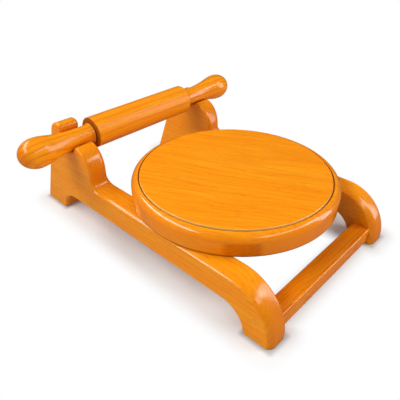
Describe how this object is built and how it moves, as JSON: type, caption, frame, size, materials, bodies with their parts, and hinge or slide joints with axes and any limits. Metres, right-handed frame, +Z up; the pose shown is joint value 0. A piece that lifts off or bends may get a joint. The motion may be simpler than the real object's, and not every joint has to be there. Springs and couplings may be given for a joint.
{
  "type": "rolling board",
  "caption": "Round wooden dough-rolling board fixed on two side rails, with a revolving rolling pin that lies in slots at the back and lifts out.",
  "frame": {"origin": "on the surface the feet stand on, under the middle of the pin and midway along the rails", "axes": "+X runs along the rolling pin, +Y towards the pin at the back, +Z up"},
  "size_m": [0.3576, 0.3956, 0.1333],
  "materials": {
    "board_wood": "gloss varnish",
    "rail_wood": "gloss varnish",
    "stretcher_wood": "gloss varnish",
    "pin_wood": "gloss varnish",
    "dowel_wood": "bare",
    "steel": "plain",
    "bush_plastic": "moulded"
  },
  "bodies": {
    "stand": {"rolling_board": "board_wood", "left_rail": "rail_wood", "right_rail": "rail_wood", "front_stretcher": "stretcher_wood", "stretcher_dowels": "dowel_wood", "board_screws": "steel"},
    "pin": {"left_handle": "pin_wood", "right_handle": "pin_wood", "pin_rod": "steel", "left_washer": "steel", "right_washer": "steel"},
    "barrel": {"pin_barrel": "pin_wood", "left_bush": "bush_plastic", "right_bush": "bush_plastic"}
  },
  "joints": [
    {"name": "pin_lift", "type": "slide", "parent": "stand", "child": "pin", "axis": [0, -0.4067, 0.9135], "range_m": [0, 0.07]},
    {"name": "barrel_spin", "type": "hinge", "parent": "pin", "child": "barrel", "pos_m": [0, 0.11989, 0.11347], "axis": [1, 0, 0], "continuous": true}
  ]
}
